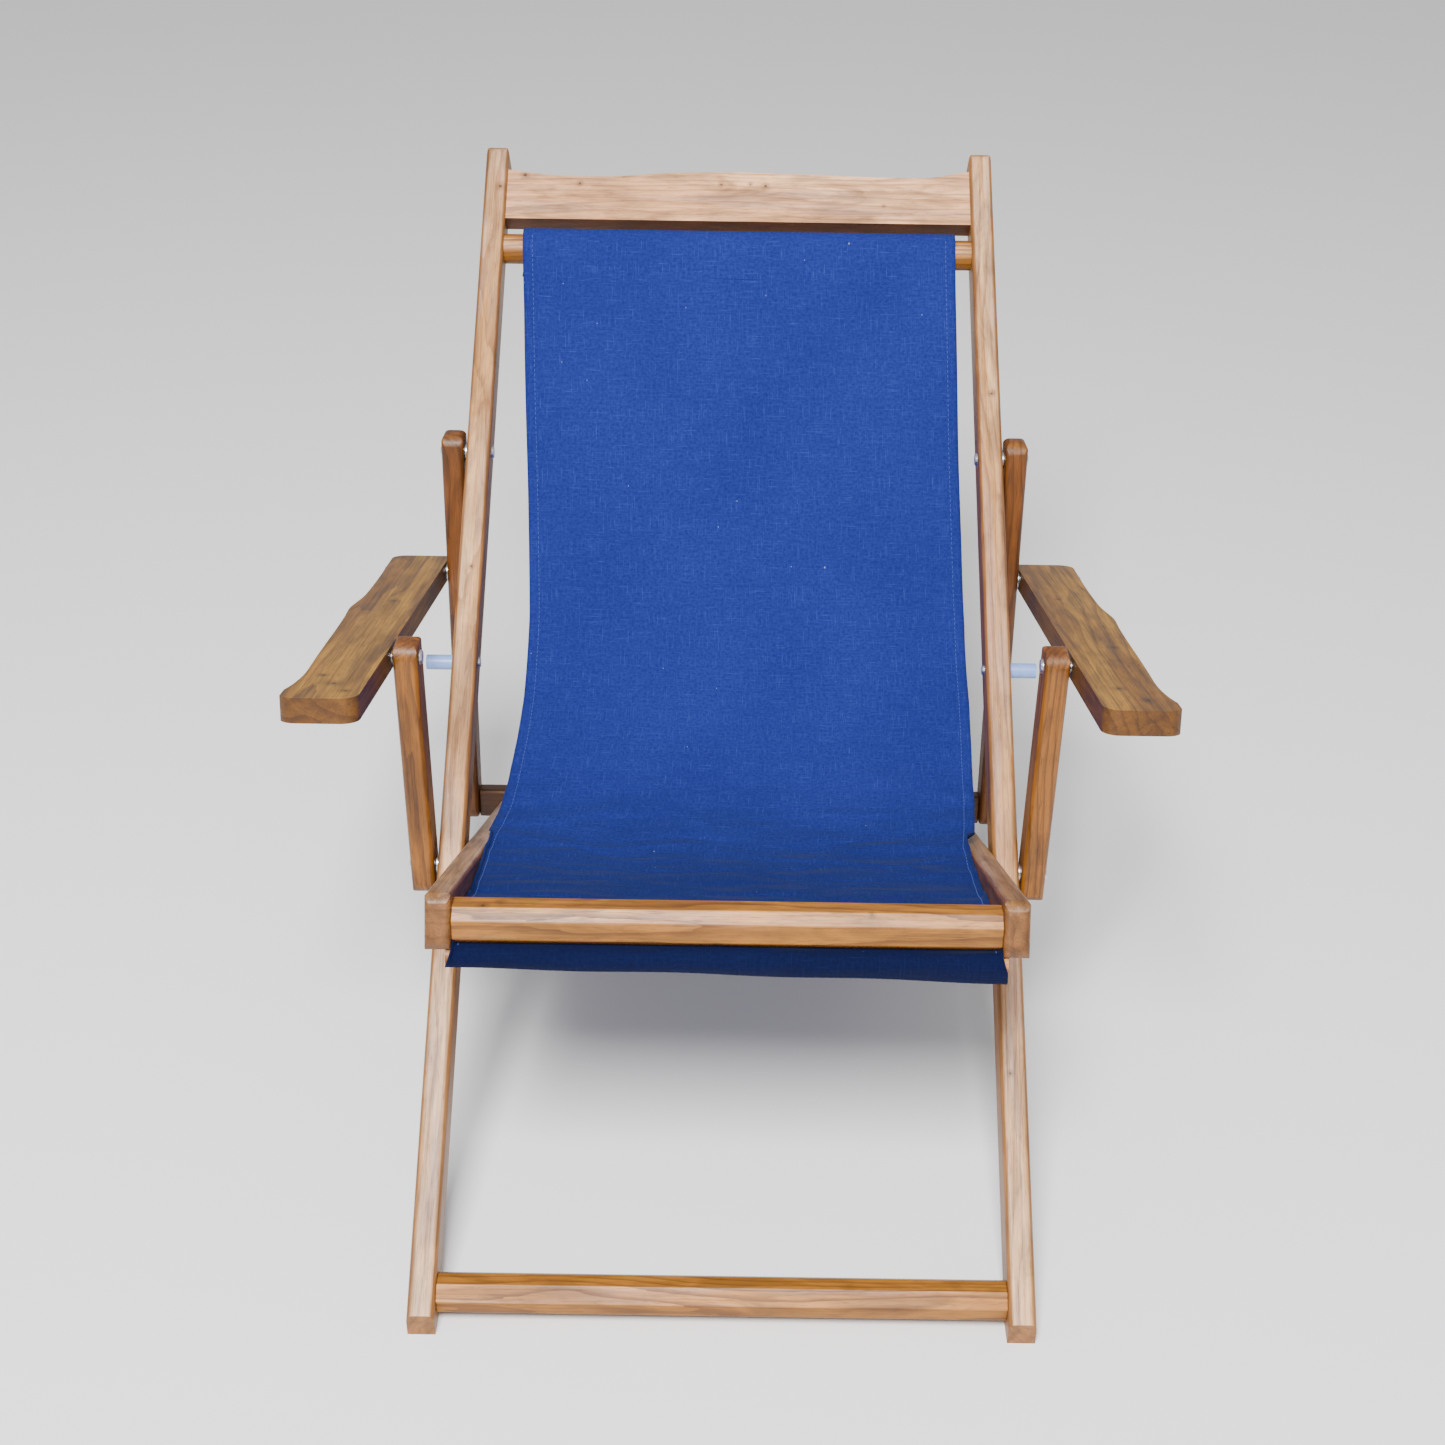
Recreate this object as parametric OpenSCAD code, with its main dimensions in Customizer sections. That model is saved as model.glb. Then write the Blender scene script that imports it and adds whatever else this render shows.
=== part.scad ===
// Folding deck chair: a long main frame, a seat frame pivoted inside it, a prop frame that
// stands on the seat frame, two arms carried by posts and by the prop frame, and a cloth sling.
// X is across the chair, +Y is towards the back, +Z is up. The floor is Z = 0.

/* [Main frame] */
// Width over the outside of the main stiles
frame_w = 560; // [500:5:620]
// Thickness of every main stile across the chair
stile_t = 25; // [22:1:28]
// Depth of a main stile, seen from the side
stile_d = 39; // [34:1:44]
// Length of the main stiles
stile_len = 1267; // [1200:1:1300]
// Slope of the main frame above the floor, degrees
recline = 35.7; // [34:0.1:38]
// Depth of the top rail at its ends
top_rail_d = 62; // [50:1:75]

/* [Seat frame] */
// Distance from the toe of the main frame to the seat pivot
seat_pivot_at = 438; // [420:1:450]
// Slope of the seat frame below the floor line, degrees
seat_slope = 27.5; // [25:0.5:30]
// Depth of a seat rail, seen from the side
seat_rail_d = 50; // [44:1:54]
// Reach of the seat rails in front of their pivot
seat_front = 286; // [270:1:300]

/* [Prop frame and arms] */
// Distance along the main stile from the seat pivot to the prop pivot
prop_pivot_gap = 452; // [440:1:465]
// Distance from the prop pivot to the middle of the crossbar
prop_reach = 411; // [400:1:414]
// Direction of the prop stiles from their pivot, degrees
prop_angle = 261.5; // [260:0.5:263]
// Distance from the prop pivot to the arm's rear pivot
arm_drop = 134; // [126:1:142]
// Distance between the two pivots of an arm post
post_reach = 232; // [225:1:240]
// Distance along the main stile from the seat pivot to the fold stop peg
stop_gap = 212; // [205:1:218]
// Thickness of an arm board
arm_t = 22; // [18:1:26]
// Widest part of an arm board
arm_w = 64; // [56:1:72]

/* [Hardware and cloth] */
// Radius of the pivot bolts
bolt_r = 4; // [3:0.5:5]
// Radial clearance of a pivot in its hole
run_gap = 0.06; // [0.02:0.01:0.1]
// Radius of the fold stop pegs
peg_r = 7.5; // [6:0.5:8]
// Width of the sling
sling_w = 471; // [440:1:480]
// Thickness of the sling as a solid
cloth_t = 2; // [1.5:0.5:3]

/* [Hidden] */

$fn = 48;
wood_a = "#D2A679";
wood_b = "#C08A4E";
steel = "#C9CCD0";

// layers across the chair, from the middle outwards
washer_t = 3;
arm_gap = 2.6;
outer_x = frame_w / 2;
inner_x = outer_x - stile_t;
seat_t = 22;
seat_x1 = inner_x - washer_t;
seat_x0 = seat_x1 - seat_t;
prop_t = 23;
prop_x0 = outer_x + washer_t;
prop_x1 = prop_x0 + prop_t;
arm_x = prop_x1 + arm_gap;

// depths of the outer members
prop_d = 36;
post_d = 34;
head_h = 2.2;
head_r = 7;

// a point at a distance and an angle from another, in the side view [y, z]
function polar(p, len, ang) = [p[0] + len * cos(ang), p[1] + len * sin(ang)];
function span(p, q) = norm([q[0] - p[0], q[1] - p[1]]);
function heading(p, q) = atan2(q[1] - p[1], q[0] - p[0]);
// third corner of a triangle, on the left of p to q, from its side lengths
function corner(p, q, from_p, from_q) =
    polar(p, from_p, heading(p, q)
        + acos((from_p ^ 2 + span(p, q) ^ 2 - from_q ^ 2) / (2 * from_p * span(p, q))));

// pivots in the side view
stile_end_r = 13;
stile_back = (stile_len - stile_end_r) * cos(recline)
    + (stile_d / 2 - stile_end_r) * sin(recline) + stile_end_r;
back_shift = -stile_back / 2;
toe = [back_shift, 0];
seat_pivot = polar(toe, seat_pivot_at, recline);
prop_pivot = polar(seat_pivot, prop_pivot_gap, recline);
arm_rear = polar(prop_pivot, arm_drop, prop_angle);
stop_peg = polar(seat_pivot, stop_gap, recline);
// folded flat, the posts lie on the pegs and the prop frame lies along the main frame
stop_angle = asin((post_d / 2 + peg_r) / stop_gap);
flat_span = prop_pivot_gap + arm_drop;
arm_reach = sqrt(flat_span ^ 2 + post_reach ^ 2 - 2 * flat_span * post_reach * cos(stop_angle));
arm_front = corner(seat_pivot, arm_rear, post_reach, arm_reach);
post_angle = heading(seat_pivot, arm_front);
arm_angle = heading(arm_front, arm_rear);
bar = polar(prop_pivot, prop_reach, prop_angle);
bar_h = 34;
bar_t = 20;
bar_cut = 3;

// places along the main stile, from the toe
dowel_at = 1142;
dowel_r = 16;
top_rail_at = 1172;
bottom_rail_at = 37;
rod_r = 9;
rod_at = seat_front - 14;
rod_drop = seat_rail_d / 2 + rod_r - 4;
seat_back = seat_pivot[1] / sin(seat_slope) + seat_rail_d;
// corners of the crossbar in the seat rail's own side view, where the rails are stepped to carry it
function turned(v, ang) = [v[0] * cos(ang) - v[1] * sin(ang), v[0] * sin(ang) + v[1] * cos(ang)];
function on_seat(y, z) = turned(bar + turned([y, z], prop_angle) - seat_pivot, seat_slope);
bar_foot = on_seat(bar_h / 2, bar_cut - bar_t / 2);
bar_front = on_seat(bar_cut - bar_h / 2, -bar_t / 2);
step_at = bar_front[0] - 0.8;
rest_z = bar_foot[1] - 0.3;
slide_z = rest_z - 0.55;

// draw in a side-view frame at point p: local Y runs along the member, Z across its depth
module at(p, ang) { translate([0, p[0], p[1]]) rotate([ang, 0, 0]) children(); }
// extrude a side-view outline from x0 to x1
module slab(x0, x1) { translate([x0, 0, 0]) rotate([90, 0, 90]) linear_extrude(x1 - x0) children(); }
// extrude an [x, z] section from y0 to y1
module run(y0, y1) { translate([0, y1, 0]) rotate([90, 0, 0]) linear_extrude(y1 - y0) children(); }
// a rod across the chair
module rod(r, x0, x1) { translate([x0, 0, 0]) rotate([0, 90, 0]) cylinder(r = r, h = x1 - x0); }
module both_sides() { children(); mirror([1, 0, 0]) children(); }
module left() { mirror([1, 0, 0]) children(); }
module above_floor() {
    intersection() {
        children();
        translate([-500, -1500, 0]) cube([1000, 3000, 2000]);
    }
}

// rectangle with round corners, from x0 to x1 and z0 to z1
module round_box(x0, x1, z0, z1, r) {
    translate([x0 + r, z0]) square([x1 - x0 - 2 * r, z1 - z0]);
    translate([x0, z0 + r]) square([x1 - x0, z1 - z0 - 2 * r]);
    for (x = [x0 + r, x1 - r], z = [z0 + r, z1 - r]) translate([x, z]) circle(r = r);
}

// a member with round corners in its section, its side view and its front view
module member(x0, x1, y0, y1, d, corner_r, end_r, tip_r) {
    intersection() {
        run(y0, y1) round_box(x0, x1, -d / 2, d / 2, corner_r);
        slab(x0, x1) round_box(y0, y1, -d / 2, d / 2, end_r);
        translate([0, 0, -d / 2]) linear_extrude(d) round_box(x0, x1, y0, y1, tip_r);
    }
}

// octagonal rail across the chair
module rail(half, w, d, cut) {
    slab(-half, half) polygon([
        [-w / 2 + cut, -d / 2], [w / 2 - cut, -d / 2], [w / 2, -d / 2 + cut], [w / 2, d / 2 - cut],
        [w / 2 - cut, d / 2], [-w / 2 + cut, d / 2], [-w / 2, d / 2 - cut], [-w / 2, -d / 2 + cut]]);
}

// ---- main frame ----
module main_stile() {
    difference() {
        above_floor() at(toe, recline) member(inner_x, outer_x, -60, stile_len, stile_d, 6, stile_end_r, 12);
        translate([0, back_shift - 2 * stile_d, -1]) cube([frame_w, 2 * stile_d, 2 * stile_d]);
        at(seat_pivot, 0) rod(bolt_r, inner_x - 1, outer_x + 1);
        at(prop_pivot, 0) rod(bolt_r, inner_x - 1, outer_x + 1);
        at(stop_peg, 0) rod(screw_r, inner_x - 1, outer_x + 1);
    }
}
module main_stile_left() { color(wood_a) left() main_stile(); }
module main_stile_right() { color(wood_a) main_stile(); }

// the top edge keeps the wave of the board it was cut from: [share of the half width, rise]
top_wave = [[-1, 1.8], [-0.9, -1.9], [-0.77, -5.1], [-0.59, -5.5], [-0.46, -3.6], [-0.33, -0.1], [-0.06, 2.4],
    [0.18, 1.5], [0.35, 0.6], [0.49, -0.9], [0.67, -1.8], [0.8, -1.6], [0.86, 0.2], [1, 7.6]];
function spline(a, b, c, d, t) = b + (c - a) * t / 2
    + (a - 2.5 * b + 2 * c - d / 2) * t ^ 2 + (1.5 * b - a / 2 - 1.5 * c + d / 2) * t ^ 3;
module top_rail() {
    plate_t = 21;
    last = len(top_wave) - 1;
    wave = [for (i = [0:last - 1], k = [0:3]) spline(
        top_wave[max(i - 1, 0)], top_wave[i], top_wave[i + 1], top_wave[min(i + 2, last)], k / 4)];
    color(wood_a) at(toe, recline) translate([0, 0, 4 - plate_t / 2]) linear_extrude(plate_t)
        polygon(concat(
            [[inner_x, top_rail_at], [-inner_x, top_rail_at]],
            [for (p = concat(wave, [top_wave[last]])) [inner_x * p[0], top_rail_at + top_rail_d + p[1]]]));
}
module sling_dowel() {
    color(wood_b) at(polar(toe, dowel_at, recline), recline) rod(dowel_r, -inner_x, inner_x);
}
module bottom_rail() { color(wood_b) at(polar(toe, bottom_rail_at, recline), 0) rail(inner_x, 35, 35, 11); }

// ---- seat frame ----
module seat_rail() {
    difference() {
        above_floor() at(seat_pivot, -seat_slope)
            member(seat_x0, seat_x1, -seat_front, seat_back, seat_rail_d, 4, 12, 6);
        at(seat_pivot, 0) rod(bolt_r + run_gap, seat_x0 - 1, seat_x1 + 1);
        at(seat_pivot, -seat_slope) {
            slab(seat_x0 - 1, seat_x1 + 1) polygon([
                [step_at, seat_rail_d], [step_at, rest_z], [bar_foot[0], rest_z], [bar_foot[0] + 38, slide_z],
                [seat_back + 1, slide_z], [seat_back + 1, seat_rail_d]]);
            translate([0, -rod_at, -rod_drop]) rod(rod_r + cloth_t + 0.2, seat_x0 - 1, seat_x1 + 1);
        }
    }
}
module seat_rail_left() { color(wood_b) left() seat_rail(); }
module seat_rail_right() { color(wood_b) seat_rail(); }
module seat_front_rail() {
    color(wood_b) at(seat_pivot, -seat_slope) translate([0, 21 - seat_front, -1]) rotate([20, 0, 0])
        rail(seat_x0, 34, 36, 9);
}
module seat_rear_stretcher() {
    color(wood_b) at(seat_pivot, -seat_slope) translate([0, 478, -13]) rod(9, -seat_x0, seat_x0);
}
// loose in the sling's pocket, pulled up into a groove under each seat rail
module hem_rod() {
    half = sling_w / 2 - 0.5;
    color(wood_b) at(seat_pivot, -seat_slope) translate([0, -rod_at, -rod_drop]) rod(rod_r, -half, half);
}

// ---- prop frame ----
module prop_stile() {
    difference() {
        at(prop_pivot, prop_angle) member(prop_x0, prop_x1, -22, prop_reach + 18, prop_d, 5, 15, 8);
        at(prop_pivot, 0) rod(bolt_r + run_gap, prop_x0 - 1, prop_x1 + 1);
        at(arm_rear, 0) rod(bolt_r + run_gap, prop_x0 - 1, prop_x1 + 1);
    }
}
module prop_stile_left() { color(wood_b) left() prop_stile(); }
module prop_stile_right() { color(wood_b) prop_stile(); }
module prop_crossbar() {
    color(wood_b) at(bar, prop_angle) rail(prop_x0, bar_h, bar_t, bar_cut);
}

// ---- arm posts and arms ----
module arm_post() {
    difference() {
        at(seat_pivot, post_angle) member(prop_x0, prop_x1, -28, post_reach + 18, post_d, 5, 15, 8);
        at(seat_pivot, 0) rod(bolt_r + run_gap, prop_x0 - 1, prop_x1 + 1);
        at(arm_front, 0) rod(bolt_r, prop_x0 - 1, prop_x1 + 1);
    }
}
module arm_post_left() { color(wood_b) left() arm_post(); }
module arm_post_right() { color(wood_b) arm_post(); }

// plan outline of an arm: straight inner edge, wavy outer edge
arm_nose = 176;
arm_tail = 26;
// width of the arm over arm_w, by distance behind its front pivot
arm_wave = [[-176, 1.05], [-156, 1.03], [-136, 0.96], [-112, 0.915], [-90, 0.906], [-50, 0.924],
    [0, 0.94], [50, 0.952], [100, 0.972], [137, 1], [160, 0.97], [182, 0.93], [210, 0.912], [278, 0.916],
    [364, 0.948], [400, 0.95]];
function arm_edge(y) = arm_w * lookup(y, arm_wave);
// what is left outside a quarter circle at a corner, whose board lies towards "into"
module corner_cut(p, into, r) {
    translate(p) scale(into) difference() {
        translate([-3, -3]) square(r + 3);
        translate([r, r]) circle(r = r);
    }
}
module arm_plan() {
    nose_r = 15;
    y1 = arm_reach + arm_tail;
    last = len(arm_wave) - 1;
    wave = [for (i = [0:last - 1], k = [0:3]) spline(
        arm_wave[max(i - 1, 0)], arm_wave[i], arm_wave[i + 1], arm_wave[min(i + 2, last)], k / 4)];
    difference() {
        intersection() {
            polygon(concat(
                [[0, -arm_nose]], [for (p = wave) [arm_w * p[1], p[0]]], [[0, arm_wave[last][0]]]));
            translate([-1, -arm_nose]) square([arm_w + 2, arm_nose + y1]);
        }
        corner_cut([0, -arm_nose], [1, 1], nose_r);
        corner_cut([arm_edge(-arm_nose), -arm_nose], [-1, 1], nose_r);
        corner_cut([arm_edge(y1), y1], [-1, -1], nose_r);
    }
}
module arm() {
    difference() {
        at(arm_front, arm_angle) translate([arm_x, 0, -arm_t / 2]) linear_extrude(arm_t) arm_plan();
        at(arm_front, 0) rod(insert_r, arm_x - 1, arm_x + insert_len);
        at(arm_rear, 0) rod(bolt_r, arm_x - 1, arm_x + arm_w + 1);
        at(arm_rear, 0) rod(washer_r + 1, rear_seat_x, arm_x + arm_w + 1);
    }
}
module arm_left() { color(wood_b) left() arm(); }
module arm_right() { color(wood_b) arm(); }

// ---- hardware ----
insert_r = 6;
insert_len = 22;
screw_r = 2.5;
washer_r = 9;
// seat of the rear washer, sunk a little into the arm's outer edge
rear_seat_x = arm_x + arm_edge(arm_reach) - 3;

// a flat round head with a softened rim, its back at x = 0, its face towards the middle
module head(r, h) { translate([-h, 0, 0]) rotate([0, 90, 0]) cylinder(r1 = r - 1, r2 = r, h = h); }
module bolt(p, x_head, x_end) {
    color(steel) at(p, 0) {
        translate([x_head, 0, 0]) head(head_r, head_h);
        rod(bolt_r, x_head, x_end);
    }
}
module washer(p, x0, x1) {
    color(steel) at(p, 0) difference() {
        rod(washer_r, x0, x1);
        rod(bolt_r, x0 - 1, x1 + 1);
    }
}
module low_nut(p, x) {
    color(steel) at(p, 0) difference() {
        translate([x, 0, 0]) mirror([1, 0, 0]) head(head_r, head_h);
        rod(bolt_r, x - 1, x + 1.4);
    }
}
module seat_pivot_bolts() { both_sides() bolt(seat_pivot, seat_x0, prop_x1 + 1.4); }
module seat_pivot_nuts() { both_sides() low_nut(seat_pivot, prop_x1 + 0.1); }
module seat_pivot_washers() {
    both_sides() washer(seat_pivot, seat_x1 + 0.1, inner_x);
    both_sides() washer(seat_pivot, outer_x, prop_x0 - 0.1);
}
module prop_pivot_bolts() { both_sides() bolt(prop_pivot, inner_x, prop_x1 + 1.4); }
module prop_pivot_nuts() { both_sides() low_nut(prop_pivot, prop_x1 + 0.1); }
module prop_pivot_washers() { both_sides() washer(prop_pivot, outer_x, prop_x0 - 0.1); }

module arm_front_bolt() { bolt(arm_front, prop_x0, prop_x1 + 1.2); }
module arm_front_bolt_left() { left() arm_front_bolt(); }
module arm_front_bolt_right() { arm_front_bolt(); }
module arm_front_washer() { washer(arm_front, prop_x1, prop_x1 + 1.2); }
module arm_front_washer_left() { left() arm_front_washer(); }
module arm_front_washer_right() { arm_front_washer(); }
module arm_front_insert() { color(steel) at(arm_front, 0) rod(insert_r, arm_x - 0.8, arm_x + insert_len); }
module arm_front_insert_left() { left() arm_front_insert(); }
module arm_front_insert_right() { arm_front_insert(); }
module arm_rear_bolt() { bolt(arm_rear, prop_x0, rear_seat_x + 4); }
module arm_rear_bolt_left() { left() arm_rear_bolt(); }
module arm_rear_bolt_right() { arm_rear_bolt(); }
module arm_rear_washers() {
    washer(arm_rear, prop_x1 + 0.1, arm_x);
    washer(arm_rear, rear_seat_x, rear_seat_x + 1.5);
}
module arm_rear_washers_left() { left() arm_rear_washers(); }
module arm_rear_washers_right() { arm_rear_washers(); }
// domed cap nut: a round collar under a ball end
module arm_rear_dome_nut() {
    collar = 3;
    color(steel) at(arm_rear, 0) translate([rear_seat_x + 1.5, 0, 0]) difference() {
        rotate([0, 90, 0]) rotate_extrude() {
            square([6.5, collar]);
            translate([0, collar]) intersection() { circle(r = 5.5); square(6); }
        }
        rod(bolt_r, -1, 2.5);
    }
}
module arm_rear_dome_nut_left() { left() arm_rear_dome_nut(); }
module arm_rear_dome_nut_right() { arm_rear_dome_nut(); }

// white stop pegs on the outside of the main stiles, held by screws from the inside
module fold_stop_pegs() {
    color("#E8ECF4") both_sides() at(stop_peg, 0) difference() {
        rod(peg_r, outer_x, prop_x1 + 1);
        rod(screw_r, outer_x - 1, prop_x0 + 12);
    }
}
module peg_screws() {
    color(steel) both_sides() at(stop_peg, 0) {
        translate([inner_x, 0, 0]) head(5.5, head_h);
        rod(screw_r, inner_x, prop_x0 + 12);
    }
}

// ---- sling: one strip along a smooth side-view curve from the dowel to the hem rod ----
sling_path = [[914, 692], [862, 594], [805, 504], [748, 421], [697, 358], [640, 317],
    [571, 291], [507, 280], [432, 278], [350, 288], [273, 314], [201, 343], [150, 354]];
module sling() {
    last = len(sling_path) - 1;
    dirs = [for (i = [0:last]) heading(sling_path[max(i - 1, 0)], sling_path[min(i + 1, last)])];
    function edge(side) = [for (i = [0:last])
        polar([sling_path[i][0] + back_shift, sling_path[i][1]], side * cloth_t / 2, dirs[i] + 90)];
    below = edge(-1);
    color("#26459B") slab(-seat_x0 + 6, seat_x0 - 6)
        polygon(concat(edge(1), [for (i = [last:-1:0]) below[i]]));
}

main_stile_left();
main_stile_right();
top_rail();
sling_dowel();
bottom_rail();
seat_rail_left();
seat_rail_right();
seat_front_rail();
seat_rear_stretcher();
hem_rod();
prop_stile_left();
prop_stile_right();
prop_crossbar();
arm_post_left();
arm_post_right();
arm_left();
arm_right();
seat_pivot_bolts();
seat_pivot_nuts();
seat_pivot_washers();
prop_pivot_bolts();
prop_pivot_nuts();
prop_pivot_washers();
arm_front_bolt_left();
arm_front_bolt_right();
arm_front_washer_left();
arm_front_washer_right();
arm_front_insert_left();
arm_front_insert_right();
arm_rear_bolt_left();
arm_rear_bolt_right();
arm_rear_dome_nut_left();
arm_rear_dome_nut_right();
arm_rear_washers_left();
arm_rear_washers_right();
fold_stop_pegs();
peg_screws();
sling();
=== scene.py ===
# Folding deck chair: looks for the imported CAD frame. Metres, +Z up, +Y towards the back.
import math

import bpy
import numpy as np
from mathutils import Matrix, Vector


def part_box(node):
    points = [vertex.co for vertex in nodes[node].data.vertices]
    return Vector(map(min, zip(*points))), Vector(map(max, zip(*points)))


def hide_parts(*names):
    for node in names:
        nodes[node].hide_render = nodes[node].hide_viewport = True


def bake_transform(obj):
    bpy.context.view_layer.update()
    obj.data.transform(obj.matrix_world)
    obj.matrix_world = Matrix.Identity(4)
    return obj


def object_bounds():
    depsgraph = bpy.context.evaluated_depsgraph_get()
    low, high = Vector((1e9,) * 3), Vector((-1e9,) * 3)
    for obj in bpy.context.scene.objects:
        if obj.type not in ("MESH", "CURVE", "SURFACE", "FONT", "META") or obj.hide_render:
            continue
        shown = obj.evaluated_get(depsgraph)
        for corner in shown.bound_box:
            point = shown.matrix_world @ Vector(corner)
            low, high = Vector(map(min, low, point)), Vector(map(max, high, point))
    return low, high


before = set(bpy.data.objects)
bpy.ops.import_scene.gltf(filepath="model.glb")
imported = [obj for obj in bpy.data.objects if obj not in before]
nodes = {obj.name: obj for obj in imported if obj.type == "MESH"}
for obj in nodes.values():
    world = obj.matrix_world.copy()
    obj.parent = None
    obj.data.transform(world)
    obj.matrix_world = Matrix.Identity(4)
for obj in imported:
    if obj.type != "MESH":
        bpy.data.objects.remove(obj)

cad_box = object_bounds()


# ---------------------------------------------------------------- places taken from the frame
def centre(node):
    """Middle of a CAD node's box, in metres."""
    low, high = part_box(node)
    return [(a + b) / 2 for a, b in zip(low, high)]


def side_angle(p, q):
    """Slope of the line from p to q in the side view, in radians."""
    return math.atan2(q[2] - p[2], q[1] - p[1])


seat_pivot = centre("seat_pivot_bolts")
prop_pivot = centre("prop_pivot_bolts")
arm_rear = centre("arm_rear_dome_nut_right")
arm_front = centre("arm_front_insert_right")
crossbar = centre("prop_crossbar")
front_rail = centre("seat_front_rail")
dowel = centre("sling_dowel")
hem_rod = centre("hem_rod")

RECLINE = side_angle(seat_pivot, prop_pivot)
SEAT_SLOPE = side_angle(front_rail, seat_pivot)
PROP_SLOPE = side_angle(crossbar, prop_pivot)
POST_SLOPE = side_angle(seat_pivot, arm_front)
ARM_SLOPE = side_angle(arm_front, arm_rear)


# ---------------------------------------------------------------- node helpers
class Tree:
    """A short way to build a material's nodes."""

    def __init__(self, name):
        self.material = bpy.data.materials.new(name)
        self.material.use_nodes = True
        self.nodes = self.material.node_tree.nodes
        self.links = self.material.node_tree.links
        self.shader = self.nodes["Principled BSDF"]

    def add(self, kind, inputs=None, **settings):
        node = self.nodes.new("ShaderNode" + kind)
        for key, value in settings.items():
            setattr(node, key, value)
        for key, value in (inputs or {}).items():
            self.put(node.inputs[key], value)
        return node

    def put(self, socket, value):
        """Sets a socket to a constant, or links another socket to it."""
        if isinstance(value, bpy.types.NodeSocket):
            self.links.new(value, socket)
        else:
            socket.default_value = value

    def math(self, operation, a, b=0.0):
        return self.add("Math", {0: a, 1: b}, operation=operation).outputs[0]

    def ramp(self, value, low, high, out_low=0.0, out_high=1.0):
        """Maps value from low..high to out_low..out_high, clamped and smooth."""
        node = self.add("MapRange", {"Value": value, "From Min": low, "From Max": high,
                                     "To Min": out_low, "To Max": out_high},
                        interpolation_type="SMOOTHSTEP")
        return node.outputs["Result"]

    def noise(self, vector, scale, detail=3.0, roughness=0.5, distortion=0.0):
        node = self.add("TexNoise", {"Vector": vector, "Scale": scale, "Detail": detail,
                                     "Roughness": roughness, "Distortion": distortion})
        return node.outputs["Fac"]

    def mix(self, factor, a, b, blend_type="MIX"):
        node = self.add("Mix", data_type="RGBA", blend_type=blend_type)
        self.put(node.inputs["Factor"], factor)
        self.put(node.inputs["A"], a)
        self.put(node.inputs["B"], b)
        return node.outputs["Result"]

    def stretch(self, vector, scale, shift=(0, 0, 0), turn=(0, 0, 0)):
        node = self.add("Mapping", {"Vector": vector, "Scale": scale, "Location": shift,
                                    "Rotation": turn})
        return node.outputs["Vector"]


def rgb(r, g, b):
    """A linear colour from 0-255 sRGB values."""
    def linear(c):
        c /= 255
        return c / 12.92 if c <= 0.04045 else ((c + 0.055) / 1.055) ** 2.4
    return (linear(r), linear(g), linear(b), 1)


# ---------------------------------------------------------------- materials
# a wave texture of scale 1 repeats after this many metres
WAVE_PITCH = 0.314


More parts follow.
